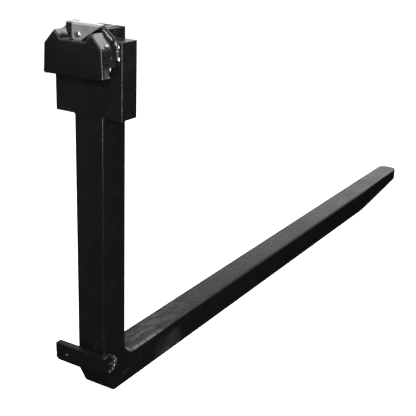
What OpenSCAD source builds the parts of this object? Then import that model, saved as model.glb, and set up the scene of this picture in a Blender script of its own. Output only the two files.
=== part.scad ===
// Narrow lift truck fork for a class 2 hook carriage.
// The bar's back face is the plane y = 0 and its underside is the plane z = 0
// while it is drawn. Every piece is then moved along y, so that the origin
// lies under the middle of the whole fork.

/* [Fork arm] */
// Width of the bar
arm_w = 46; // [42:1:56]
// Thickness of the shank, front to back
shank_t = 49; // [42:1:56]
// Thickness of the blade behind its taper
blade_t = 45.5; // [36:0.5:50]
// Length of the blade in front of the shank
blade_len = 1138; // [800:1:1500]
// Length of the taper at the blade's front
taper_len = 240; // [160:5:400]
// Thickness of the tip
tip_t = 22; // [14:1:28]
// Width of the tip
tip_w = 42; // [36:1:46]
// Radius of the tip's corners, seen from above
tip_r = 17; // [8:1:18]
// Radius of the corner between shank and blade
heel_r = 21; // [12:1:30]
// Height of the bevel outside the heel
heel_bevel_z = 37; // [20:1:44]
// Depth of the bevel outside the heel
heel_bevel_y = 18.6; // [10:0.2:30]
// Radius where the bevel meets the shank's back
bevel_top_r = 10; // [4:1:20]
// Radius where the bevel meets the bar's underside
bevel_low_r = 18; // [8:1:24]
// Radius along the bar's rolled edges
edge_r = 2.5; // [1:0.5:4]

/* [Head] */
// Width of the head across its ears
head_w = 107; // [102:1:120]
// Thickness of the head
head_t = 31.4; // [24:0.2:38]
// Height of the head
head_h = 98.1; // [80:0.1:120]
// Height of the shank's top above the head's top
head_drop = 11.7; // [11.4:0.1:16]
// Radius under the ears
ear_fillet_r = 6; // [2:1:10]
// Radius along the head's upright edges
head_edge_r = 1.5; // [0.5:0.5:3]

/* [Hooks] */
// Height of the shank's top above the upper lip's tip
shank_rise = 56; // [54:1:60]
// Distance between the tips of the two hooks' lips
lip_gap = 381; // [380:1:384]
// Height of the lower lip's tip above the ground
lower_lip_z = 80; // [76:1:84]
// Gap between the shank's back and either lip
slot_w = 16; // [15.5:0.5:18]
// Radius in the root of either slot
slot_r = 3; // [1:0.5:5]
// Height of the upper lip
upper_lip_h = 14; // [12:1:18]
// Thickness of the upper lip
upper_lip_t = 14; // [10:1:18]
// Half the upper hook's width at its bottom
upper_half_w = 46.8; // [44:0.2:50]
// Amount that each side leans in up to its bevel
upper_draft = 2; // [0:0.5:3]
// Height of the two horns above the upper lip's tip
horn_h = 56; // [54:1:58]
// Half the distance between the horns' ridges
horn_half = 28.4; // [26:0.2:30]
// Drop of the bevel outside each horn
horn_drop = 18; // [14:1:22]
// Half the width of the notch's floor between the horns
notch_half = 18.5; // [18:0.5:20]
// Depth of the notch below the horns
notch_d = 11.4; // [9:0.2:12]
// Radius of the upper hook's lower corners
upper_corner_r = 4; // [1:0.5:6]
// Half the lower hook's width
lower_half_w = 42.5; // [36:0.5:48]
// Height of the lower hook
lower_h = 27; // [24:0.5:32]
// Height of the lower lip above its seat
lower_lip_h = 14; // [8:1:16]
// Thickness of the lower lip
lower_lip_t = 9.5; // [8:0.5:14]
// Radius of the lower hook's lower corners
lower_corner_r = 6; // [2:1:9]

/* [Latch] */
// Distance from the shank's back to the locking pin's axis
pin_y = 9.75; // [9.5:0.05:10]
// Radius of the locking pin
pin_r = 6; // [5:0.1:6.2]
// Radius of the locking pin's nose
nose_r = 4.2; // [3:0.1:4.2]
// Length of the nose that stands out of the seat
pin_out = 8; // [5:0.5:10]
// Length of the locking pin below its stem
pin_len = 13; // [12:0.5:14]
// Radius of the locking pin's stem
stem_r = 4; // [3.5:0.1:4.2]
// Radius of the rivet through lever and stem
rivet_r = 2.2; // [1.5:0.1:2.4]
// Radius of the rivet's head
rivet_head_r = 4; // [3:0.1:4.5]
// Height of the rivet's head
rivet_head_h = 1.6; // [1:0.1:2.5]
// Radial clearance of the pin, the stem and the rivet in their holes
run_fit = 0.05; // [0.02:0.01:0.1]
// Length of the narrow hole that guides the stem
guide_len = 8; // [6:0.5:9]
// Lift of the locking pin when the lever stands up
lift = 13; // [9:0.5:13]
// Height of the rivet above the notch's floor
pivot_h = 6.7; // [6:0.1:7.5]
// Gap between the lever's heel and the notch's floor
heel_gap = 0.15; // [0.05:0.05:0.3]
// Distance from the pin's axis to the lever's outer face
lever_out = 9.5; // [9:0.1:9.6]
// Thickness of the lever's sheet
sheet_t = 2; // [1.5:0.1:2.4]
// Radius of the bend along the lever's top
bend_r = 3.7; // [2.5:0.1:5]
// Width of the lever's top
top_w = 5.5; // [5:0.1:5.5]
// Distance from the rivet to the lever's far end
lever_len = 36; // [30:1:60]
// Height of the lever's top above the rivet
lever_h = 15.3; // [14:0.1:16]
// Height of the lever's far end
end_h = 2.3; // [2:0.1:6]
// Distance from the rivet to the start of the slant under the lever
slant_x = 5.8; // [2:0.1:8]
// Distance from the rivet to the lever's near end
cheek_end = 8.6; // [7:0.1:10]
// Radius of the corner at that end
cheek_r = 3.5; // [1:0.5:5]
// Drop of the heel block's top below the lever's
cap_drop = 0.6; // [0.2:0.1:2]
// Radius along the heel block's upper edges
cap_r = 3.2; // [1:0.1:4]
// Diameter of the spring's wire
wire_d = 1.1; // [0.8:0.1:1.2]
// Number of the spring's turns
turns = 3; // [2:0.5:3]

/* [Welds] */
// Radius of the beads at the shank and the lower hook
bead_r = 5; // [3:0.5:6]
// Radius of the beads beside the upper hook
side_bead_r = 6; // [4:0.1:6]
// Height above the seat at which those beads start
side_bead_z = 5; // [2:0.5:8]

/* [Hidden] */
$fn = 64;

// Overlap that lets one cut pass another face
past = 1;
// Blade
tip_y = shank_t + blade_len;
taper_y = tip_y - taper_len;
taper_a = atan2(blade_t - tip_t, taper_len);
// Centre of the round between shank and blade
heel_y = shank_t + heel_r;
heel_z = blade_t + heel_r;
// Thickness of the round strip that carries the heel's rolled inner edges
strip_t = 3 * edge_r + 6;
// Hooks
upper_lip_z = lower_lip_z + lip_gap;
shank_h = upper_lip_z + shank_rise;
head_top_z = shank_h - head_drop;
head_z = head_top_z - head_h;
seat_z = upper_lip_z + upper_lip_h;
horn_z = upper_lip_z + horn_h;
floor_z = horn_z - notch_d;
bevel_z = horn_z - horn_drop;
upper_depth = slot_w + upper_lip_t;
lower_z = lower_lip_z - lower_h;
lower_seat_z = lower_lip_z - lower_lip_h;
lower_depth = slot_w + lower_lip_t;
// Latch
pivot_z = floor_z + pivot_h;
pin_z = seat_z - pin_out;
shoulder_z = pin_z + pin_len;
guide_z = floor_z - guide_len;
pin_tip = 1.2;
cam_w = 2 * (lever_out - sheet_t);
cam_slot_w = 2 * stem_r + 0.4;
// Growth of the cam's reach with the angle, in mm for each radian, which
// makes the pin's lift follow the lever's turn in one constant ratio
cam_rate = lift / (PI / 2);
cam_low = pivot_h - heel_gap;
spring_mean_r = (stem_r + pin_r) / 2;
// Place of the origin along the fork
datum_y = (tip_y - upper_depth) / 2;

function cam_reach(a) = cam_low + cam_rate * a * PI / 180;
function cam_point(a) = [
    -cam_reach(a) * sin(a) - cam_rate * cos(a),
    -cam_reach(a) * cos(a) + cam_rate * sin(a)
];
// Half the upper hook's width at a height
function upper_side(z) = upper_half_w - upper_draft
    * (z - upper_lip_z - upper_corner_r) / (bevel_z - upper_lip_z - upper_corner_r);
function arc(cx, cy, r, a0, a1, steps = 6) = [
    for (i = [0:steps]) let (a = a0 + (a1 - a0) * i / steps) [cx + r * cos(a), cy + r * sin(a)]
];

module in_frame() {
    translate([0, -datum_y, 0]) children();
}

// Runs a flat shape, drawn in x and z, along y from y0 to y1
module along_y(y0, y1) {
    translate([0, y1, 0]) rotate([90, 0, 0]) linear_extrude(y1 - y0) children();
}

// Runs a flat shape, drawn in y and z, along x to both sides of the middle
module along_x(half) {
    translate([-half, 0, 0]) rotate([90, 0, 90]) linear_extrude(2 * half) children();
}

// Rectangle centred on x that starts at y = 0, with four round corners
module round_rect(w, h, r) {
    translate([-w / 2 + r, 0]) square([w - 2 * r, h]);
    translate([-w / 2, r]) square([w, h - 2 * r]);
    for (x = [-w / 2 + r, w / 2 - r], y = [r, h - r]) translate([x, y]) circle(r);
}

module shank() {
    translate([0, 0, heel_z]) linear_extrude(shank_h - heel_z) round_rect(arm_w, shank_t, edge_r);
}

// Blade seen from above: both sides lean in along the taper, and the tip's
// corners are round
module tip_outline() {
    side = tip_w / 2;
    polygon([
        [-arm_w / 2 - past, heel_y - past],
        [arm_w / 2 + past, heel_y - past],
        [arm_w / 2 + past, taper_y],
        [arm_w / 2, taper_y],
        [side, tip_y - tip_r],
        [-side, tip_y - tip_r],
        [-arm_w / 2, taper_y],
        [-arm_w / 2 - past, taper_y]
    ]);
    translate([tip_r - side, tip_y - tip_r - past]) square([2 * (side - tip_r), tip_r + past]);
    for (x = [-1, 1]) translate([x * (side - tip_r), tip_y - tip_r]) circle(tip_r);
}

// Side view of what the taper takes off the blade's underside
module taper_cut() {
    polygon([
        [taper_y, 0],
        [tip_y + past, (taper_len + past) * tan(taper_a)],
        [tip_y + past, -past],
        [taper_y, -past]
    ]);
}

module blade() {
    difference() {
        intersection() {
            along_y(heel_y, tip_y) round_rect(arm_w, blade_t, edge_r);
            linear_extrude(blade_t + past) tip_outline();
        }
        along_x(arm_w) taper_cut();
    }
}

// Side view of what the bevel takes off the heel. Both of its ends are round:
// each round touches the bevel and reaches a hair past the shank's back or the
// underside, so that it meets them at a line.
module bevel_cut() {
    hair = 0.02;
    length = norm([heel_bevel_y, heel_bevel_z]);
    inward = [heel_bevel_z, heel_bevel_y] / length;
    reach = heel_bevel_y * heel_bevel_z;
    top_y = bevel_top_r - hair;
    top_z = (bevel_top_r * length + reach - heel_bevel_z * top_y) / heel_bevel_y;
    low_z = bevel_low_r - hair;
    low_y = (bevel_low_r * length + reach - heel_bevel_y * low_z) / heel_bevel_z;
    top = [top_y, top_z];
    low = [low_y, low_z];
    difference() {
        polygon([[-past, -past], [-past, top_z], top, low, [low_y, -past]]);
        polygon([top, top - bevel_top_r * inward, low - bevel_low_r * inward, low]);
        translate(top) circle(bevel_top_r);
        translate(low) circle(bevel_low_r);
    }
}

// Outer part of the heel: where an upright and a level bar cross, bevelled
module heel_block() {
    difference() {
        intersection() {
            linear_extrude(heel_z) round_rect(arm_w, heel_y + 2 * edge_r, edge_r);
            along_y(0, heel_y) round_rect(arm_w, heel_z + 2 * edge_r, edge_r);
        }
        along_x(arm_w) bevel_cut();
    }
}

// Round strip inside the heel, with the same rolled edges as the bar
module heel_strip() {
    translate([0, heel_y, heel_z]) rotate([-90, 0, 0]) rotate([0, 90, 0])
        rotate_extrude(angle = 90) translate([heel_r, 0]) rotate(-90)
            round_rect(arm_w, strip_t, edge_r);
}

module heel() {
    difference() {
        heel_block();
        translate([0, heel_y, heel_z]) rotate([0, 90, 0])
            cylinder(h = arm_w + 2 * past, r = heel_r + strip_t - edge_r - past, center = true);
    }
    heel_strip();
}

module head() {
    translate([0, 0, head_z]) linear_extrude(head_top_z - head_z)
        round_rect(head_w, head_t, head_edge_r);
    for (side = [0, 1]) mirror([side, 0, 0])
        along_y(edge_r, head_t - edge_r) difference() {
            translate([arm_w / 2 - past, head_z - ear_fillet_r])
                square([ear_fillet_r + past, ear_fillet_r + past]);
            translate([arm_w / 2 + ear_fillet_r, head_z - ear_fillet_r]) circle(ear_fillet_r);
        }
}

module arm_body() {
    shank();
    heel();
    blade();
    head();
}

module fork_arm() {
    color("#1b1b1d") in_frame() arm_body();
}

// Front view of the upper hook: two horns with a notch between them
module upper_outline() {
    half = [
        each arc(upper_half_w - upper_corner_r, upper_lip_z + upper_corner_r, upper_corner_r, -90, 0),
        [upper_half_w - upper_draft, bevel_z],
        [horn_half, horn_z],
        [notch_half, floor_z]
    ];
    polygon([each half, for (i = [len(half) - 1:-1:0]) [-half[i][0], half[i][1]]]);
}

// Side view of the space behind the upper lip
module upper_slot() {
    h = seat_z - upper_lip_z;
    translate([-slot_w + slot_r, upper_lip_z - past]) square([slot_w - slot_r + past, h + past]);
    translate([-slot_w, upper_lip_z - past]) square([slot_w, h + past - slot_r]);
    translate([-slot_w + slot_r, seat_z - slot_r]) circle(slot_r);
}

module upper_body() {
    difference() {
        along_y(-upper_depth, 0) upper_outline();
        along_x(upper_half_w + past) upper_slot();
        translate([0, -pin_y, seat_z - slot_r - past])
            cylinder(h = guide_z - seat_z + slot_r + past, r = pin_r + run_fit);
        translate([0, -pin_y, seat_z])
            cylinder(h = floor_z - seat_z + past, r = stem_r + run_fit);
    }
}

module upper_hook() {
    color("#1b1b1d") in_frame() upper_body();
}

// Side view of the lower hook
module lower_side() {
    translate([-lower_depth, lower_z]) square([lower_lip_t, lower_h]);
    translate([-lower_depth, lower_z]) square([lower_depth, lower_h - lower_lip_h]);
    difference() {
        translate([-slot_w - past, lower_seat_z - past]) square([slot_r + past, slot_r + past]);
        translate([-slot_w + slot_r, lower_seat_z + slot_r]) circle(slot_r);
    }
}

module lower_body() {
    intersection() {
        along_x(lower_half_w) lower_side();
        along_y(-lower_depth - past, past) translate([0, lower_z]) {
            translate([-lower_half_w + lower_corner_r, 0])
                square([2 * (lower_half_w - lower_corner_r), lower_h + past]);
            translate([-lower_half_w, lower_corner_r])
                square([2 * lower_half_w, lower_h - lower_corner_r + past]);
            for (side = [-1, 1])
                translate([side * (lower_half_w - lower_corner_r), lower_corner_r])
                    circle(lower_corner_r);
        }
    }
}

module lower_hook() {
    color("#1b1b1d") in_frame() lower_body();
}

// Round bead from one point to the next
module bead(from, to, r) {
    run = to - from;
    translate(from) rotate([0, acos(run[2] / norm(run)), atan2(run[1], run[0])])
        cylinder(h = norm(run), r = r);
}

// Beads beside the upper hook: one up each side on the head's back, and behind
// each horn one along the head's top and one up the side of the shank
module upper_welds() {
    side_low = seat_z + side_bead_z;
    side_top = upper_side(bevel_z);
    color("#3a3a3c") in_frame() for (side = [0, 1]) mirror([side, 0, 0]) {
        difference() {
            bead([upper_side(side_low), 0, side_low], [side_top, 0, bevel_z], side_bead_r);
            translate([0, 0, upper_lip_z]) cube([head_w, head_t, horn_h]);
            upper_body();
        }
        difference() {
            intersection() {
                bead([arm_w / 2, 0, head_top_z], [side_top - bead_r, 0, head_top_z], bead_r);
                translate([arm_w / 2, 0, head_top_z]) cube([head_w, head_t, horn_h]);
            }
            translate([arm_w / 2, 0, head_top_z]) cylinder(h = horn_h, r = bead_r);
        }
        intersection() {
            bead([arm_w / 2, 0, head_top_z], [arm_w / 2, 0, shank_h], bead_r);
            translate([arm_w / 2, 0, head_top_z]) cube([head_w, head_t, horn_h]);
        }
    }
}

// Beads beside the lower hook: one up each side of the shank and one below
module lower_welds() {
    color("#3a3a3c") in_frame() {
        for (side = [0, 1]) mirror([side, 0, 0]) intersection() {
            bead([arm_w / 2, 0, lower_z + edge_r], [arm_w / 2, 0, lower_lip_z], bead_r);
            translate([arm_w / 2, 0, lower_z]) cube([head_w, head_t, lower_h]);
        }
        intersection() {
            bead([edge_r - arm_w / 2, 0, lower_z], [arm_w / 2 - edge_r, 0, lower_z], bead_r);
            translate([-arm_w / 2, -lower_depth, 0]) cube([arm_w, lower_depth, lower_z]);
        }
    }
}

// Nose for the rail's notch, thick part that fills its hole, and stem
module lock_pin() {
    nose_top = seat_z + 1;
    step = pin_r - nose_r;
    color("#2a2a2c") in_frame() translate([0, -pin_y, 0]) difference() {
        union() {
            translate([0, 0, pin_z]) cylinder(h = pin_tip, r1 = nose_r - pin_tip, r2 = nose_r);
            translate([0, 0, pin_z + pin_tip])
                cylinder(h = nose_top - pin_z - pin_tip, r = nose_r);
            translate([0, 0, nose_top]) cylinder(h = step, r1 = nose_r, r2 = pin_r);
            translate([0, 0, nose_top + step])
                cylinder(h = shoulder_z - nose_top - step, r = pin_r);
            translate([0, 0, shoulder_z]) cylinder(h = pivot_z - shoulder_z, r = stem_r);
            translate([0, 0, pivot_z]) sphere(stem_r);
        }
        translate([0, 0, pivot_z]) rotate([90, 0, 0])
            cylinder(h = 4 * stem_r, r = rivet_r + run_fit, center = true);
    }
}

// Spring around the stem, between the pin's shoulder and the end of its hole
module latch_spring() {
    r = wire_d / 2;
    sides = 8;
    steps = round(turns * 16);
    rise = guide_z - shoulder_z - 2 * r;
    points = [
        for (i = [0:steps], k = [0:sides - 1])
            let (turn = 360 * turns * i / steps, a = 360 * k / sides,
                 reach = spring_mean_r + r * cos(a))
            [reach * cos(turn), reach * sin(turn), shoulder_z + r + rise * i / steps + r * sin(a)]
    ];
    faces = [
        [for (k = [0:sides - 1]) k],
        for (i = [0:steps - 1], k = [0:sides - 1])
            [i * sides + k, (i + 1) * sides + k,
             (i + 1) * sides + (k + 1) % sides, i * sides + (k + 1) % sides],
        [for (k = [sides - 1:-1:0]) steps * sides + k]
    ];
    color("#b9bcc0") in_frame() translate([0, -pin_y, 0]) polyhedron(points, faces);
}

// Side view of the lever, with the rivet at the origin
module lever_outline() {
    low = -cam_low;
    polygon([
        each arc(-cheek_end + cheek_r, low + cheek_r, cheek_r, 180, 270),
        [slant_x, low],
        [lever_len, lever_h - end_h],
        [lever_len, lever_h + past],
        [-cheek_end, lever_h + past]
    ]);
}

// End view of the lever's sheet: an upright side that bends over into the top
module lever_section() {
    y = bend_r - lever_out;
    z = lever_h - bend_r;
    low = -cam_low - past;
    difference() {
        union() {
            translate([y, z]) circle(bend_r);
            translate([-lever_out, low]) square([sheet_t, z - low]);
            translate([y, lever_h - sheet_t]) square([top_w - bend_r, sheet_t]);
        }
        translate([y, z]) circle(bend_r - sheet_t);
        translate([sheet_t - lever_out, low]) square([2 * bend_r, z - low]);
        translate([y, low]) square([2 * bend_r, lever_h - sheet_t - low]);
    }
}

module rivet_hole(w) {
    rotate([90, 0, 0]) cylinder(h = w, r = rivet_r, center = true);
}

module at_pivot() {
    in_frame() translate([0, -pin_y, pivot_z]) children();
}

module latch_lever() {
    color("#aeb4b8") at_pivot() difference() {
        intersection() {
            along_y(-lever_out - past, lever_out) lever_outline();
            translate([-cheek_end - past, 0, 0]) rotate([90, 0, 90])
                linear_extrude(cheek_end + lever_len + 2 * past) lever_section();
        }
        rivet_hole(4 * lever_out);
    }
}

// Block beside the lever whose round heel lifts the pin as the lever turns.
// Its heel is the curve whose reach grows evenly with the angle. Its free end
// stands out past the lever, with the corner rounded to clear the horn.
module cam_outline() {
    back = stem_r + 4.5;
    cap = lever_h - cap_drop;
    under = lever_h - bend_r;
    polygon([
        [back, -cam_low],
        for (a = [0:7.5:90]) cam_point(a),
        each arc(cap_r - cam_reach(90), cap - cap_r, cap_r, 180, 90),
        [-cheek_end - 0.5, cap],
        [-cheek_end - 0.5, under],
        [back, under]
    ]);
}

module latch_cam() {
    top = lever_h - cap_drop;
    half = cam_w / 2;
    color("#262628") at_pivot() difference() {
        intersection() {
            along_y(-half, half) cam_outline();
            translate([-2 * cam_reach(90), 0, 0]) rotate([90, 0, 90])
                linear_extrude(4 * cam_reach(90)) union() {
                    translate([-half - past, -2 * cam_low])
                        square([cam_w + 2 * past, top - cap_r + 2 * cam_low]);
                    translate([cap_r - half, 0]) square([cam_w - 2 * cap_r, top + past]);
                    for (y = [cap_r - half, half - cap_r]) translate([y, top - cap_r])
                        circle(cap_r);
                }
        }
        translate([-cam_reach(90) - past, -cam_slot_w / 2, -pivot_h])
            cube([cam_reach(90) + past + stem_r + 0.5, cam_slot_w, lever_h + pivot_h + past]);
        rivet_hole(4 * lever_out);
    }
}

module latch_rivet() {
    color("#c9ccd0") at_pivot() {
        rotate([90, 0, 0]) translate([0, 0, -cam_w / 2])
            cylinder(h = cam_w / 2 + lever_out, r = rivet_r);
        translate([0, -lever_out, 0]) rotate([90, 0, 0]) {
            cylinder(h = rivet_head_h / 2, r = rivet_head_r);
            translate([0, 0, rivet_head_h / 2])
                cylinder(h = rivet_head_h / 2, r1 = rivet_head_r, r2 = rivet_head_r * 0.7);
        }
    }
}

fork_arm();
upper_hook();
lower_hook();
upper_welds();
lower_welds();
lock_pin();
latch_spring();
latch_lever();
latch_cam();
latch_rivet();
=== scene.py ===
# %% [markdown]
# A narrow lift truck fork. The bar, its head, the two hooks and the latch
# come from the CAD model, which is loaded as a fixed frame. This script adds
# the looks: broken edges, black paint, weld beads, spatter and a zinc-plated
# lever. Everything is in metres, and every piece rides on a body of the frame.

# %% Load the frame
import math
import random

import bmesh
import bpy
from mathutils import Matrix, Vector


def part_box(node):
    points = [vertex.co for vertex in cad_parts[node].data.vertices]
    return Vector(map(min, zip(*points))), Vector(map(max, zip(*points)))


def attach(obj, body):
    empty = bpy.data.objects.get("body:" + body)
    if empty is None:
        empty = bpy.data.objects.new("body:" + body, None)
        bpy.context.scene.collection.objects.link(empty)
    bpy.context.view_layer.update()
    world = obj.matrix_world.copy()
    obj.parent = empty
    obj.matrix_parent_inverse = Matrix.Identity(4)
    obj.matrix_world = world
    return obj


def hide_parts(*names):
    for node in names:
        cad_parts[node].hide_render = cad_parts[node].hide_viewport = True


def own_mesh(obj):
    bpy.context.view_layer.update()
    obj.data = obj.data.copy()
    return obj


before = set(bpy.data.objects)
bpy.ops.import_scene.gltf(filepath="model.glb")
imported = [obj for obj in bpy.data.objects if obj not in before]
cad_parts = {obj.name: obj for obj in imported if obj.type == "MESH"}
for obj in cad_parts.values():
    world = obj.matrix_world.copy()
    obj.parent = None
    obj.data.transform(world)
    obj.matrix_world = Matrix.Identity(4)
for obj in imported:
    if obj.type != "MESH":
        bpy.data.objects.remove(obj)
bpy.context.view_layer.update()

# %% [markdown]
# The camera stands behind the shank, to its right and above it, about 1.3 m
# away. It could be aimed at the fork by a constraint, but its place was found
# by fitting the fork's straight edges, so it is written as what the fit gave:
# a place, two angles, a slight roll and a lens.

# %% Camera
back_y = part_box("fork_arm")[0][1]
CAMERA_PLACE = Vector((0.6907, back_y - 0.8538, 0.6827))
CAMERA_YAW = math.radians(30.762)
CAMERA_PITCH = math.radians(19.969)
CAMERA_ROLL = math.radians(2.114)
CAMERA_LENS = 75.73


def camera_frame(yaw, pitch, roll):
    """Columns right, up and back of a camera that looks down by pitch."""
    back = Vector((
        math.sin(yaw) * math.cos(pitch),
        -math.cos(yaw) * math.cos(pitch),
        math.sin(pitch),
    ))
    right = (-back).cross(Vector((0, 0, 1))).normalized()
    up = right.cross(-back)
    right_rolled = math.cos(roll) * right + math.sin(roll) * up
    up_rolled = math.cos(roll) * up - math.sin(roll) * right
    return Matrix((right_rolled, up_rolled, back)).transposed()


camera_data = bpy.data.cameras.new("photo_camera")
camera_data.lens = CAMERA_LENS
camera_data.sensor_width = 36
camera_data.clip_start = 0.05
camera_data.clip_end = 200
camera = bpy.data.objects.new("photo_camera", camera_data)
bpy.context.scene.collection.objects.link(camera)
turn = camera_frame(CAMERA_YAW, CAMERA_PITCH, CAMERA_ROLL)
camera.matrix_world = Matrix.Translation(CAMERA_PLACE) @ turn.to_4x4()
bpy.context.scene.camera = camera
print("camera at", tuple(round(v, 3) for v in CAMERA_PLACE))

# %% [markdown]
# The floor is a plain pale sheet. A white floor that is only lit would turn
# grey and throw its light up onto black paint, so this one glows a little, and
# it is hidden from mirrors and from the light that bounces: the camera sees it,
# and the fork doesn't.

# %% Floor
FLOOR_HALF = 40.0
FLOOR_GLOW = 0.8


def build_floor():
    mesh = bpy.data.meshes.new("floor")
    corners = [(-FLOOR_HALF, -FLOOR_HALF, 0), (FLOOR_HALF, -FLOOR_HALF, 0)]
    corners += [(FLOOR_HALF, FLOOR_HALF, 0), (-FLOOR_HALF, FLOOR_HALF, 0)]
    mesh.from_pydata(corners, [], [(0, 1, 2, 3)])
    floor = bpy.data.objects.new("floor", mesh)
    bpy.context.scene.collection.objects.link(floor)
    paint = bpy.data.materials.new("pale_floor")
    paint.use_nodes = True
    shader = paint.node_tree.nodes["Principled BSDF"]
    shader.inputs["Base Color"].default_value = (0.95, 0.95, 0.95, 1)
    shader.inputs["Roughness"].default_value = 1.0
    shader.inputs["Specular IOR Level"].default_value = 0.0
    shader.inputs["Emission Color"].default_value = (1, 1, 1, 1)
    shader.inputs["Emission Strength"].default_value = FLOOR_GLOW
    mesh.materials.append(paint)
    floor.visible_glossy = False
    floor.visible_diffuse = False


build_floor()
print("floor", 2 * FLOOR_HALF, "m wide")

# %% [markdown]
# Black paint shows its form by what it mirrors. Upright faces, seen from
# above, mirror what is below the horizon, and tops mirror what is above it. A
# room could be built around the fork, but a colour ramp over the height of the
# view does the same: dark below, white just above the horizon and grey
# overhead. The blade's top then pales towards the tip.

# %% Surround
GROUND = 0.012
HORIZON = 0.8
SKY = 1.4
HIGH_SKY = 0.6
OVERHEAD = 0.15
# Height of the view, from 0 straight down to 1 straight up, and the level there
SURROUND = ((0.44, GROUND), (0.52, HORIZON), (0.65, SKY), (0.69, HIGH_SKY), (0.76, OVERHEAD))


def build_surround():
    world = bpy.data.worlds.new("white_room")
    world.use_nodes = True
    tree = world.node_tree
    direction = tree.nodes.new("ShaderNodeTexCoord")
    split = tree.nodes.new("ShaderNodeSeparateXYZ")
    tree.links.new(direction.outputs["Generated"], split.inputs["Vector"])
    height = tree.nodes.new("ShaderNodeMapRange")
    height.inputs["From Min"].default_value = -1
    height.inputs["From Max"].default_value = 1
    tree.links.new(split.outputs["Z"], height.inputs["Value"])
    shade = tree.nodes.new("ShaderNodeValToRGB")
    steps = shade.color_ramp.elements
    steps[0].position, steps[1].position = SURROUND[0][0], SURROUND[1][0]
    for position, level in SURROUND[2:]:
        steps.new(position)
    for step, (position, level) in zip(steps, SURROUND):
        step.color = (level, level, level, 1)
    tree.links.new(height.outputs["Result"], shade.inputs["Fac"])
    tree.links.new(shade.outputs["Color"], tree.nodes["Background"].inputs["Color"])
    bpy.context.scene.world = world


build_surround()
bpy.context.scene.view_settings.view_transform = "Standard"
print("surround from", GROUND, "at the ground to", SKY, "above the horizon")

# %% [markdown]
# Five soft lights model the fork. A tall panel stands to the right of the
# camera, where every upright edge mirrors it as a thin bright line. A high one
# behind the camera does the same for sloping edges. A small one just above the
# camera lights the backs and draws a thin shadow line under the hook. A far one
# beyond the fork gives the hook's slope its sheen, and a wide one overhead
# lights the tops, the weld ripples and the lever.

# %% Lights


def soft_light(name, place, target, size, watts):
    data = bpy.data.lights.new(name, "AREA")
    data.shape = "RECTANGLE"
    data.size, data.size_y = size
    data.energy = watts
    light = bpy.data.objects.new(name, data)
    bpy.context.scene.collection.objects.link(light)
    light.location = place
    light.rotation_euler = (Vector(target) - Vector(place)).to_track_quat("-Z", "Y").to_euler()


soft_light("tall_panel", (1.2, back_y - 0.95, 0.79), (0, back_y, 0.79), (0.3, 1.5), 41)
soft_light("high_panel", (0.67, back_y - 1.08, 2.05), (0, back_y, 0.5), (0.7, 0.7), 11)
soft_light("near_panel", (0.74, back_y - 1.24, 1.02), (0, back_y, 0.4), (0.12, 0.12), 19)
soft_light("far_panel", (0.35, back_y + 1.57, 1.73), (0, back_y, 0.5), (0.8, 0.5), 9)
soft_light("overhead", (-0.5, 0.3, 2.6), (0, -0.1, 0.1), (2.4, 2.4), 30)
print("5 soft lights")

# %% [markdown]
# Each finish is a Principled shader that nodes feed with a pattern. Nodes can be
# added one by one in place, but eight finishes would repeat the same lines, so a
# class holds the material, and its short methods add the nodes. The first ones
# set a socket of the shader, or join something to it.

# %% Helpers for a material


class Coating:
    """A material under construction."""

    def __init__(self, name, color, roughness, metallic=0.0, ior=1.45):
        self.material = bpy.data.materials.new(name)
        self.material.use_nodes = True
        self.tree = self.material.node_tree
        self.shader = self.tree.nodes["Principled BSDF"]
        self.set("Base Color", (*color, 1))
        self.set("Roughness", roughness)
        self.set("Metallic", metallic)
        self.set("IOR", ior)
        self.place = self.tree.nodes.new("ShaderNodeTexCoord").outputs["Object"]

    def set(self, socket, value):
        self.shader.inputs[socket].default_value = value

    def drive(self, socket, out):
        self.join(out, self.shader.inputs[socket])

    def join(self, out, into):
        self.tree.links.new(out, into)

    def feed(self, sockets, values):
        """Join each value to its socket, or set it where it is a number or a colour."""
        for socket, value in zip(sockets, values):
            if isinstance(value, tuple):
                socket.default_value = (*value, 1)
            elif isinstance(value, (int, float)):
                socket.default_value = value
            else:
                self.join(value, socket)


print("material helpers ready")

# %% [markdown]
# Nothing on the fork is even: its skin, gloss and dust vary from place to place.
# Image textures could show that, but they need files and a flat layout of every
# piece. Noise worked out from the object's coordinates, which are the frame's
# metres, needs neither, and it stays in place when a piece moves. Stretching the
# coordinates draws the noise out into streaks, and a ramp sets its contrast.

# %% Helpers for patterns


class Pattern(Coating):
    """Noise, and sums on what it gives."""

    def stretched(self, scale):
        node = self.tree.nodes.new("ShaderNodeMapping")
        node.inputs["Scale"].default_value = scale
        self.join(self.place, node.inputs["Vector"])
        return node.outputs["Vector"]

    def noise(self, scale, detail=3.0, roughness=0.5, at=None, distortion=0.0):
        node = self.tree.nodes.new("ShaderNodeTexNoise")
        node.inputs["Scale"].default_value = scale
        node.inputs["Detail"].default_value = detail
        node.inputs["Roughness"].default_value = roughness
        node.inputs["Distortion"].default_value = distortion
        self.join(at or self.place, node.inputs["Vector"])
        return node.outputs["Fac"]

    def ramp(self, value, low, high, at=(0.0, 1.0)):
        """low where the value is at[0] or less, high where it is at[1] or more."""
        node = self.tree.nodes.new("ShaderNodeMapRange")
        node.inputs["From Min"].default_value = at[0]
        node.inputs["From Max"].default_value = at[1]
        node.inputs["To Min"].default_value = low
        node.inputs["To Max"].default_value = high
        self.join(value, node.inputs["Value"])
        return node.outputs["Result"]

    def math(self, kind, first, second=0.0):
        node = self.tree.nodes.new("ShaderNodeMath")
        node.operation = kind
        self.feed(node.inputs, (first, second))
        return node.outputs["Value"]


print("pattern helpers ready")

# %% [markdown]
# Dust, rubbing and saw marks end somewhere. A mask could be painted on each
# piece by hand, but a border along an axis is simpler to place and to move:
# above and below give one with soft sides, and their product is a patch.

# %% Helpers for masks


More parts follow.
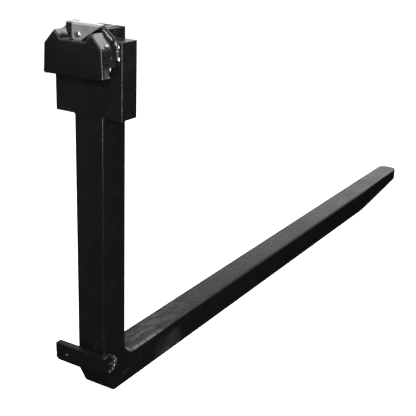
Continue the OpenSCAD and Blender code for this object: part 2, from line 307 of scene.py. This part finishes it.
class Mask(Pattern):
    """Soft borders, and mixes that follow them."""

    def mix(self, amount, color_a, color_b):
        """color_a where amount is 0, color_b where it is 1."""
        node = self.tree.nodes.new("ShaderNodeMix")
        node.data_type = "RGBA"
        self.join(amount, node.inputs["Factor"])
        self.feed((node.inputs[6], node.inputs[7]), (color_a, color_b))
        return node.outputs[2]

    def blend(self, amount, first, second):
        """first where amount is 0, second where it is 1."""
        node = self.tree.nodes.new("ShaderNodeMix")
        self.join(amount, node.inputs["Factor"])
        self.feed((node.inputs[2], node.inputs[3]), (first, second))
        return node.outputs[0]

    def border(self, level, soft, axis, under, over):
        split = self.tree.nodes.new("ShaderNodeSeparateXYZ")
        self.join(self.place, split.inputs["Vector"])
        return self.ramp(split.outputs[axis], under, over, at=(level - soft, level + soft))

    def above(self, level, soft, axis="Z"):
        """0 below the level along the axis, 1 above it."""
        return self.border(level, soft, axis, 0.0, 1.0)

    def below(self, level, soft, axis="Z"):
        """1 below the level along the axis, 0 above it."""
        return self.border(level, soft, axis, 1.0, 0.0)

    def product(self, first, *others):
        for other in others:
            first = self.math("MULTIPLY", first, other)
        return first


print("mask helpers ready")

# %% [markdown]
# Relief that is finer than the mesh is a bump: it only tilts the light. Rubbing
# polishes paint along edges first: there it shines where it mirrors a light, and
# stays dark where it mirrors the ground. The edges could be marked by hand, but
# a bevel node finds them: where its rounded normal leaves the true one, there is
# an edge.

# %% Helpers for relief and edges
EDGE_PATCHES = 110


class Finish(Mask):
    """Relief and polished edges."""

    def bump(self, height, distance, strength=1.0, below=None):
        node = self.tree.nodes.new("ShaderNodeBump")
        node.inputs["Distance"].default_value = distance
        node.inputs["Strength"].default_value = strength
        self.join(height, node.inputs["Height"])
        if below is not None:
            self.join(below, node.inputs["Normal"])
        return node.outputs["Normal"]

    def edge(self, radius):
        """1 on edges within radius, 0 on flat faces."""
        bevel = self.tree.nodes.new("ShaderNodeBevel")
        bevel.samples = 6
        bevel.inputs["Radius"].default_value = radius
        geometry = self.tree.nodes.new("ShaderNodeNewGeometry")
        dot = self.tree.nodes.new("ShaderNodeVectorMath")
        dot.operation = "DOT_PRODUCT"
        self.join(bevel.outputs["Normal"], dot.inputs[0])
        self.join(geometry.outputs["Normal"], dot.inputs[1])
        return self.ramp(dot.outputs["Value"], 1.0, 0.0, at=(0.8, 0.995))

    def polish_edges(self, radius, amount):
        """A stronger mirror on edges, in patches, as where hands and rails rub."""
        patchy = self.ramp(self.noise(EDGE_PATCHES), 0.4 * amount, amount, at=(0.35, 0.55))
        self.set("Coat IOR", 3.0)
        self.set("Coat Roughness", 0.22)
        self.drive("Coat Weight", self.math("MULTIPLY", self.edge(radius), patchy))


print("relief and edge helpers ready")

# %% [markdown]
# The bar is hot rolled and then sprayed black. The paint is thin, so the
# rolled skin shows through as long shallow waves and fine wrinkles, under the
# paint's own orange peel. Modelled wrinkles would take millions of faces, so
# each layer is a bump over the one below it. On the blade next to the heel the
# skin lies in rings like the contour lines of a map, which are the sine of a
# smooth noise.

# %% Relief of the bar
RING_CLOSENESS = 150.0


def bar_relief(finish):
    wave = finish.noise(9, detail=2, at=finish.stretched((1, 0.5, 0.5)))
    normal = finish.bump(wave, 0.004, 0.25)
    skin = finish.stretched((1.6, 0.8, 1.2))
    wrinkle = finish.noise(60, detail=5, roughness=0.62, at=skin, distortion=1.4)
    normal = finish.bump(wrinkle, 0.0013, 0.3, below=normal)
    hills = finish.noise(20, detail=1, at=finish.stretched((1.7, 0.75, 1)), distortion=0.6)
    rings = finish.math("SINE", finish.math("MULTIPLY", hills, RING_CLOSENESS))
    near_heel = finish.product(finish.below(back_y + 0.23, 0.11, axis="Y"), finish.below(0.075, 0.015))
    normal = finish.bump(finish.product(rings, near_heel), 0.00016, 0.7, below=normal)
    peel = finish.noise(420, detail=2)
    normal = finish.bump(peel, 0.0005, 0.4, below=normal)
    finish.drive("Normal", normal)


print("relief: waves, wrinkles, rings near the heel, orange peel")

# %% [markdown]
# The sawn top of the shank is rough and dull, with a few smooth streaks along
# the saw's way. Everywhere else the gloss only varies a little, in patches. A
# soft border 0.8 mm below the top parts the two.

# %% Gloss of the bar
shank_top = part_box("fork_arm")[1][2]


def bar_gloss(finish):
    patches = finish.noise(14, detail=4)
    smooth = finish.ramp(patches, 0.16, 0.26, at=(0.35, 0.65))
    streak = finish.noise(1, detail=3, at=finish.stretched((150, 14, 1)))
    sawn = finish.ramp(streak, 0.6, 0.2, at=(0.4, 0.54))
    dull = finish.ramp(streak, 0.15, 1.0, at=(0.4, 0.54))
    end_face = finish.above(shank_top - 0.0008, 0.0004)
    finish.drive("Roughness", finish.blend(end_face, smooth, sawn))
    finish.drive("Specular IOR Level", finish.blend(end_face, 0.5, dull))


print("sawn face at", round(shank_top, 4), "m")

# %% [markdown]
# A little dust lies in the paint's pores. A short strip of the blade's right
# edge, next to the heel, has been ground, and the side below it, a little
# further along, has a faint lighter patch: a painted reflection. Both could be
# pieces of their own, but they have no thickness, so they are patches in the
# colour: each is the product of its borders and some noise.

# %% Colour of the bar
BAR_SIDE = 0.023
BLADE_TOP = 0.0455
PAINT_BLACK = (0.0042, 0.0042, 0.0043)
PAINT_DUST = (0.0065, 0.0065, 0.0066)
PAINT_GROUND = (0.09, 0.09, 0.092)
PAINT_SIDE_REFLECTION = (0.055, 0.055, 0.056)


def bar_color(finish):
    dust = finish.ramp(finish.noise(38, detail=6, roughness=0.7), 0.0, 1.0, at=(0.5, 0.75))
    color = finish.mix(dust, PAINT_BLACK, PAINT_DUST)
    strip = finish.product(
        finish.above(BAR_SIDE - 0.0045, 0.001, axis="X"),
        finish.above(BLADE_TOP - 0.002, 0.001),
        finish.below(BLADE_TOP + 0.002, 0.001),
        finish.above(back_y + 0.064, 0.004, axis="Y"),
        finish.below(back_y + 0.145, 0.015, axis="Y"),
        finish.ramp(finish.noise(70, detail=4), 0.3, 1.0, at=(0.4, 0.6)),
    )
    color = finish.mix(strip, color, PAINT_GROUND)
    # Painted reflection: a faint lighter patch low on the blade's right side.
    side_reflection = finish.product(
        finish.above(BAR_SIDE - 0.0001, 0.0001, axis="X"),
        finish.below(0.022, 0.014),
        finish.above(back_y + 0.15, 0.03, axis="Y"),
        finish.below(back_y + 0.19, 0.012, axis="Y"),
        finish.ramp(finish.noise(30, detail=3), 0.3, 0.9, at=(0.4, 0.6)),
    )
    finish.drive("Base Color", finish.mix(side_reflection, color, PAINT_SIDE_REFLECTION))


print("black", PAINT_BLACK, "dust", PAINT_DUST)

# %% [markdown]
# The three parts make one paint. Its low index keeps the upright faces near
# black, while the blade's top, seen at a flat angle, still turns grey, as real
# paint does.

# %% Black paint of the bar
PAINT_IOR = 1.43
EDGE_REACH = 0.002


def painted_bar():
    finish = Finish("black_paint_on_rolled_steel", PAINT_BLACK, 0.25, ior=PAINT_IOR)
    bar_relief(finish)
    bar_gloss(finish)
    bar_color(finish)
    finish.polish_edges(EDGE_REACH, 0.3)
    return finish.material


bar_paint = painted_bar()
print("made", bar_paint.name)

# %% [markdown]
# The hooks are flame cut from plate and welded on. Their cut sides carry fine
# upright drag lines, and their corners are sharper than those of the bar. The
# right end of the upper hook, next to the weld, has thin runs of greyer paint.
# Both hooks share one function, but the upper one is rubbed much brighter at
# its edges, by the rail and by hands.

# %% Black paint of the hooks
PAINT_RUN = (0.05, 0.05, 0.051)
hook_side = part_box("upper_hook")[1][0]


def painted_hook(name, rubbed):
    finish = Finish(name, PAINT_BLACK, 0.25, ior=PAINT_IOR)
    pits = finish.noise(70, detail=4, roughness=0.6)
    normal = finish.bump(pits, 0.0012, 0.25)
    drag = finish.noise(120, detail=3, at=finish.stretched((6, 6, 0.5)))
    normal = finish.bump(drag, 0.0004, 0.35, below=normal)
    peel = finish.noise(380, detail=2)
    normal = finish.bump(peel, 0.0002, 0.35, below=normal)
    finish.drive("Normal", normal)
    finish.drive("Roughness", finish.ramp(finish.noise(22), 0.14, 0.24, at=(0.35, 0.65)))
    threads = finish.noise(1, detail=4, at=finish.stretched((260, 260, 30)))
    run = finish.ramp(threads, 0.0, 1.0, at=(0.4, 0.62))
    right_end = finish.above(hook_side - 0.0006, 0.0002, axis="X")
    finish.drive("Base Color", finish.mix(finish.product(run, right_end), PAINT_BLACK, PAINT_RUN))
    finish.polish_edges(EDGE_REACH, rubbed)
    return finish.material


hook_paint = painted_hook("black_paint_on_upper_hook", 1.0)
foot_paint = painted_hook("black_paint_on_lower_hook", 0.3)
print("made", hook_paint.name, foot_paint.name)

# %% [markdown]
# The weld beads are under the same paint, but their ripples are steep and the
# paint pools on them, so they glint more than the plates. A slightly higher
# index and a lower roughness are enough for that.

# %% Paint on the welds
WELD_BLACK = (0.006, 0.006, 0.0065)


def painted_weld():
    finish = Finish("black_paint_on_weld", WELD_BLACK, 0.16, ior=1.5)
    grain = finish.noise(260, detail=4, roughness=0.6)
    finish.drive("Normal", finish.bump(grain, 0.0006, 0.4))
    finish.drive("Roughness", finish.ramp(finish.noise(90), 0.1, 0.3))
    return finish.material


weld_paint = painted_weld()
print("made", weld_paint.name)

# %% [markdown]
# The lever is pressed from zinc-plated sheet: a dull bright metal with faint
# clouds, crossed by fine scratches. Its rolled top is painted brighter: a
# painted highlight where the fold catches the light. The rivet and the
# spring's wire are the same metal, only smoother.

# %% Zinc plate
ZINC = (0.56, 0.57, 0.59)
ZINC_DARK = (0.4, 0.41, 0.43)
ZINC_LIGHT = (0.68, 0.69, 0.7)
ZINC_LIT_TOP = (0.92, 0.92, 0.93)


def zinc_plate(name, roughness, lit_top_above=None):
    finish = Finish(name, ZINC, roughness, metallic=1.0)
    cloud = finish.noise(130, detail=5, roughness=0.65)
    color = finish.mix(cloud, ZINC_DARK, ZINC_LIGHT)
    # Painted highlight: the top band of the lever is painted brighter.
    if lit_top_above is not None:
        color = finish.mix(finish.above(lit_top_above, 0.0008), color, ZINC_LIT_TOP)
    finish.drive("Base Color", color)
    finish.drive("Roughness", finish.ramp(cloud, roughness - 0.1, roughness + 0.12))
    scratch = finish.noise(500, detail=2, at=finish.stretched((0.3, 1, 2)))
    finish.drive("Normal", finish.bump(scratch, 0.0002, 0.3))
    return finish.material


lever_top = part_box("latch_lever")[1][2]
zinc = zinc_plate("zinc_plated_sheet", 0.42, lit_top_above=lever_top - 0.0022)
rivet_and_glint_zinc = zinc_plate("zinc_plated_rivet_and_glints", 0.25)
spring_wire = zinc_plate("spring_wire", 0.3)
print("made", zinc.name, rivet_and_glint_zinc.name, spring_wire.name)

# %% [markdown]
# The pin and the block in the lever's heel are blackened. The block's top is
# painted as bright steel, a painted highlight where it catches the light: the
# same border along Z as before, near the block's top.

# %% Black oxide
OXIDE = (0.03, 0.03, 0.032)
OXIDE_DARK = (0.02, 0.02, 0.022)
OXIDE_LIGHT = (0.07, 0.07, 0.075)
OXIDE_LIT_CAP = (0.6, 0.6, 0.62)


def black_oxide():
    finish = Finish("black_oxide_steel", OXIDE, 0.4, metallic=0.9)
    rub = finish.ramp(finish.noise(240, detail=4), 0.0, 1.0, at=(0.45, 0.7))
    block = finish.mix(rub, OXIDE_DARK, OXIDE_LIGHT)
    # Painted highlight: the block's top is painted bright steel.
    lit_cap = finish.above(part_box("latch_cam")[1][2] - 0.0018, 0.0006)
    finish.drive("Base Color", finish.mix(lit_cap, block, OXIDE_LIT_CAP))
    finish.drive("Normal", finish.bump(finish.noise(600), 0.0002, 0.4))
    return finish.material


oxide = black_oxide()
print("made", oxide.name)

# %% [markdown]
# The CAD solids keep their shape, so their finishes are put into the slots
# that they already have. Nothing else of a CAD node is changed.

# %% Finishes of the CAD nodes
FINISH_OF = {
    "fork_arm": bar_paint,
    "upper_hook": hook_paint,
    "lower_hook": foot_paint,
    "lock_pin": oxide,
    "latch_lever": zinc,
    "latch_cam": oxide,
    "latch_rivet": rivet_and_glint_zinc,
}

for name, material in FINISH_OF.items():
    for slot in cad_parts[name].material_slots:
        slot.material = material
print("dressed", len(FINISH_OF), "CAD nodes")

# %% [markdown]
# Real plates are never knife sharp: their corners catch the light as thin
# lines. A bevel modifier breaks each corner without touching the mesh below it.
# The solids' faces don't share their corner points, so a weld modifier joins
# them first, and weighted normals keep the flat faces flat. The small latch
# pieces are clamped, since their bevels would run into one another. The bar
# needs none, because its corners are already round in the CAD.

# %% Edges of the CAD nodes
BEVEL_OF = {
    "upper_hook": 0.0018,
    "lower_hook": 0.0012,
    "latch_lever": 0.0006,
    "latch_cam": 0.0005,
    "latch_rivet": 0.0003,
}


def break_edges(node, width, clamp):
    weld = node.modifiers.new("join_corners", "WELD")
    weld.merge_threshold = 0.00001
    bevel = node.modifiers.new("break_edges", "BEVEL")
    bevel.width = width
    bevel.segments = 3
    bevel.limit_method = "ANGLE"
    bevel.angle_limit = math.radians(32)
    bevel.use_clamp_overlap = clamp
    bevel.harden_normals = False
    smooth = node.modifiers.new("even_shading", "WEIGHTED_NORMAL")
    smooth.keep_sharp = False


for name, width in BEVEL_OF.items():
    break_edges(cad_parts[name], width, clamp=name.startswith("latch"))
print("broke the edges of", len(BEVEL_OF), "CAD nodes")

# %% [markdown]
# The pieces that follow are built from rings of points: a coil of wire, weld
# beads and small domes. Two helpers do what they share. One joins each ring to
# the next with faces, and one turns the finished shape into a smooth piece that
# rides on the fork.

# %% Helpers for pieces


def bridge(shape, rings):
    """Faces between each ring of points and the next."""
    for ring, after in zip(rings, rings[1:]):
        count = len(ring)
        for k in range(count):
            beside = (k + 1) % count
            shape.faces.new((ring[k], ring[beside], after[beside], after[k]))


def new_piece(name, shape, material):
    bmesh.ops.recalc_face_normals(shape, faces=shape.faces)
    mesh = bpy.data.meshes.new(name)
    shape.to_mesh(mesh)
    shape.free()
    mesh.polygons.foreach_set("use_smooth", [True] * len(mesh.polygons))
    mesh.materials.append(material)
    piece = bpy.data.objects.new(name, mesh)
    bpy.context.scene.collection.objects.link(piece)
    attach(piece, "fork")
    return piece


print("piece helpers ready")

# %% [markdown]
# The spring in the hook is pressed together when the lever lifts the pin. A
# coil of wire, built to fill the spring's box, stands in for the rigid solid;
# the coil isn't shortened here. The coil is a ring of points carried along a
# helix.

# %% Latch spring
SPRING_TURNS = 3
STEPS_PER_TURN = 32
WIRE_SIDES = 10
WIRE_RADIUS = 0.00055


def wire_coil(low, high):
    """A helix of wire that fills the box from low to high."""
    reach = (high.x - low.x) / 2 - WIRE_RADIUS
    rise = high.z - low.z - 2 * WIRE_RADIUS
    steps = SPRING_TURNS * STEPS_PER_TURN
    foot = Vector(((low.x + high.x) / 2, (low.y + high.y) / 2, low.z + WIRE_RADIUS))
    shape = bmesh.new()
    rings = []
    for i in range(steps + 1):
        turned = 2 * math.pi * i / STEPS_PER_TURN
        outward = Vector((math.cos(turned), math.sin(turned), 0))
        center = foot + Vector((0, 0, rise * i / steps)) + reach * outward
        ring = []
        for k in range(WIRE_SIDES):
            angle = 2 * math.pi * k / WIRE_SIDES
            around = math.cos(angle) * outward + math.sin(angle) * Vector((0, 0, 1))
            ring.append(shape.verts.new(center + WIRE_RADIUS * around))
        rings.append(ring)
    bridge(shape, rings)
    shape.faces.new(list(reversed(rings[0])))
    shape.faces.new(rings[-1])
    return shape


spring_low, spring_high = (Vector(corner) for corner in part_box("latch_spring"))
coil = new_piece("spring_coil", wire_coil(spring_low, spring_high), spring_wire)
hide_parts("latch_spring")
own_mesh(coil)

# %% [markdown]
# A weld bead is a row of overlapping ripples: each is a puddle of steel that
# froze before the next one came. A bead could be carved out of a plain tube,
# but it is simpler to let the tube's radius grow and drop once for each ripple.
# Both ends are rounded off, and half of the tube lies in the steel.

# %% Shape of a weld bead
BEAD_SIDES = 20
RIPPLE_STATIONS = 6
END_STATIONS = 9
# A direction that no bead runs along, so that a bead's sides can be built on it
ASKEW = Vector((0.3, 0.5, 0.81))


def bead_stations(route, step):
    """Points every step along a polyline, with their directions."""
    out = []
    for start, end in zip(route, route[1:]):
        run = end - start
        count = max(2, round(run.length / step))
        for i in range(count):
            out.append((start.lerp(end, i / count), run.normalized()))
    out.append((route[-1], (route[-1] - route[-2]).normalized()))
    return out


def bead_radius(i, count, radius):
    """It grows and drops once for each ripple, and rounds off at both ends."""
    phase = (i % RIPPLE_STATIONS) / RIPPLE_STATIONS
    from_end = min(i, count - 1 - i, END_STATIONS) / END_STATIONS
    rounded = math.sqrt(1 - (1 - from_end) ** 2)
    return radius * (0.8 + 0.24 * phase ** 1.6) * max(rounded, 0.05)


print(RIPPLE_STATIONS, "stations for each ripple")

# %% [markdown]
# The tube is a ring of points at each station. Each point leans a little along
# the bead, by the cosine of twice its angle, so that the ripples bulge like
# scales and aren't plain hoops. No two real ripples are alike, so each one's
# size is drawn at random, from the bead's own seed.

# %% Building a weld bead
RIPPLE = 0.0032
LEAN = 0.105


def weld_bead(name, route, radius, seed, ripple=RIPPLE):
    rng = random.Random(seed)
    stations = bead_stations([Vector(p) for p in route], ripple / RIPPLE_STATIONS)
    shape = bmesh.new()
    rings = []
    swell = 1.0
    for i, (point, along) in enumerate(stations):
        if i % RIPPLE_STATIONS == 0:
            swell = 1 + rng.uniform(-0.14, 0.1)
        reach = swell * bead_radius(i, len(stations), radius)
        side = along.cross(ASKEW).normalized()
        other = along.cross(side)
        ring = []
        for k in range(BEAD_SIDES):
            angle = 2 * math.pi * k / BEAD_SIDES
            lean = LEAN * radius * math.cos(2 * angle) * along
            around = math.cos(angle) * side + math.sin(angle) * other
            ring.append(shape.verts.new(point + lean + reach * around))
        rings.append(ring)
    bridge(shape, rings)
    shape.faces.new(list(reversed(rings[0])))
    shape.faces.new(rings[-1])
    return new_piece(name, shape, weld_paint)


print("ripples every", 1000 * RIPPLE, "mm")

# %% [markdown]
# On each side, one bead runs up between hook and head, and one climbs the
# horn's slope. The right one ends in a hook-shaped tail behind the latch. A
# route could be drawn as a curve in the viewport, but a few points on the joint,
# a millimetre or so proud of the shank's back, are easier to read and change.

# %% Beads of the upper hook
for side, word in ((1, "right"), (-1, "left")):
    weld_bead("upper_weld_side_" + word, [
        (side * 0.0471, back_y - 0.001, 0.4815),
        (side * 0.0471, back_y - 0.001, 0.4945),
        (side * 0.0455, back_y - 0.001, 0.502),
        (side * 0.0415, back_y - 0.0005, 0.506),
    ], 0.0053, 3 + side)
    up_the_horn = [
        (side * 0.0425, back_y - 0.001, 0.505),
        (side * 0.0345, back_y - 0.0015, 0.5105),
        (side * 0.0285, back_y - 0.002, 0.5165),
    ]
    if word == "right":
        up_the_horn += [(0.0225, back_y - 0.0005, 0.52), (0.0195, back_y - 0.004, 0.5185)]
    weld_bead("upper_weld_horn_" + word, up_the_horn, 0.0054, 13 + side)
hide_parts("upper_welds")

# %% [markdown]
# The lower hook is held by a short bead on each side of the bar and one below
# it. A coarser one, made in a few slow steps, bends around the hook's right end:
# its ripples are twice as long.

# %% Beads of the lower hook
foot_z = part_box("lower_hook")[0][2]
for side, word in ((1, "right"), (-1, "left")):
    weld_bead("lower_weld_side_" + word, [
        (side * (BAR_SIDE + 0.0008), back_y + 0.0015, foot_z + 0.003),
        (side * (BAR_SIDE + 0.0008), back_y + 0.0015, foot_z + 0.014),
    ], 0.0042, 23 + side)
weld_bead("lower_weld_end_right", [
    (0.0262, back_y + 0.0028, 0.0695),
    (0.034, back_y + 0.0028, 0.068),
    (0.0405, back_y + 0.0018, 0.0655),
    (0.0432, back_y - 0.003, 0.0615),
    (0.0432, back_y - 0.009, 0.0565),
    (0.0418, back_y - 0.0165, 0.0535),
], 0.004, 44, ripple=0.0062)
weld_bead("lower_weld_under", [
    (-0.019, back_y - 0.0005, foot_z + 0.0005),
    (0.019, back_y - 0.0005, foot_z + 0.0005),
], 0.0042, 31)
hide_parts("lower_welds")

# %% [markdown]
# Welding throws small balls of steel that stick beside the seam. Each could be
# a whole ball, but half of it would be hidden, so it is a dome on a face: half a
# ball, which for the painted glints is pressed flat and drawn out along the face.

# %% Shape of a dome
DOME_RINGS = 5
DOME_SIDES = 12
SUNK = 0.15


def add_dome(shape, place, normal, along, size):
    """Half ellipsoid on a face; size is its half length, half width and height."""
    length, width, height = size
    normal = Vector(normal).normalized()
    along = Vector(along).normalized()
    across = normal.cross(along)
    place = Vector(place) - SUNK * height * normal
    rings = []
    for i in range(DOME_RINGS):
        tilt = math.pi / 2 * i / DOME_RINGS
        level = place + math.sin(tilt) * height * normal
        ring = []
        for k in range(DOME_SIDES):
            angle = 2 * math.pi * k / DOME_SIDES
            out = length * math.cos(angle) * along + width * math.sin(angle) * across
            ring.append(shape.verts.new(level + math.cos(tilt) * out))
        rings.append(ring)
    bridge(shape, rings)
    top = shape.verts.new(place + height * normal)
    for k in range(DOME_SIDES):
        shape.faces.new((rings[-1][k], rings[-1][(k + 1) % DOME_SIDES], top))
    shape.faces.new(list(reversed(rings[0])))


print("a dome has", DOME_SIDES * DOME_RINGS + 1, "points")

# %% [markdown]
# A few larger domes are bright zinc: painted highlights for white glints, one
# low on the hook's end, one on its slope, two on the weld, and a tiny one on the
# lower hook. They are listed one by one, where they catch the light.

# %% Painted glints
# Place, normal, long direction and size of each
# Painted highlights: bright zinc domes where the white glints are.
PAINTED_GLINTS = (
    ((hook_side, back_y - 0.0145, 0.4735), (1, 0, 0), (0, 0, 1), (0.0036, 0.0015, 0.0009)),
    ((0.0432, back_y - 0.0165, 0.5025), (0.7, 0, 0.7), (0, 1, 0.1), (0.0032, 0.0024, 0.0013)),
    ((hook_side + 0.0042, back_y - 0.0035, 0.5), (0.8, -0.5, 0.3), (0, 0.2, 1), (0.0024, 0.0012, 0.0009)),
    ((hook_side + 0.0048, back_y - 0.0035, 0.4855), (0.8, -0.5, 0.1), (0, 0.2, 1), (0.003, 0.0013, 0.0009)),
    ((-0.0236, back_y - 0.0255, 0.065), (0, -1, 0), (1, 0, 0), (0.0012, 0.001, 0.0007)),
)
highlight = bmesh.new()
for place, normal, along, size in PAINTED_GLINTS:
    add_dome(highlight, place, normal, along, size)
new_piece("painted_glint_spots", highlight, rivet_and_glint_zinc)
print(len(PAINTED_GLINTS), "bare spots")

# %% [markdown]
# The small balls lie beside the welds: on the hook's right end, on the shank's
# back above the lower hook, and on its right side above the head. They could be
# listed one by one like the painted glints, but chance spreads them better. A
# fixed seed makes every run give the same ones.

# %% Spatter
SMALLEST_BALL = 0.0004
rng = random.Random(7)


def scatter(shape, count, corner, far_corner, normal, largest):
    """Balls at random places of the patch between two corners of a face."""
    for _ in range(count):
        ball = rng.uniform(SMALLEST_BALL, largest)
        place = []
        for a, b in zip(corner, far_corner):
            # The patch is flat: along one axis its corners agree, and nothing is drawn
            place.append(a if a == b else rng.uniform(a, b))
        add_dome(shape, place, normal, (0, 0, 1), (ball, ball, ball))


# How many, two corners of the patch, its normal and the largest ball
PATCHES = (
    (34, (hook_side, back_y - 0.006, 0.47), (hook_side, back_y - 0.026, 0.497), (1, 0, 0), 0.0009),
    (16, (-0.004, back_y, 0.072), (0.021, back_y, 0.086), (0, -1, 0), 0.0008),
    (14, (BAR_SIDE, back_y + 0.006, 0.506), (BAR_SIDE, back_y + 0.028, 0.515), (1, 0, 0), 0.0009),
)
spatter = bmesh.new()
for count, corner, far_corner, normal, largest in PATCHES:
    scatter(spatter, count, corner, far_corner, normal, largest)
new_piece("weld_spatter", spatter, weld_paint)
print(sum(patch[0] for patch in PATCHES), "spatter balls")
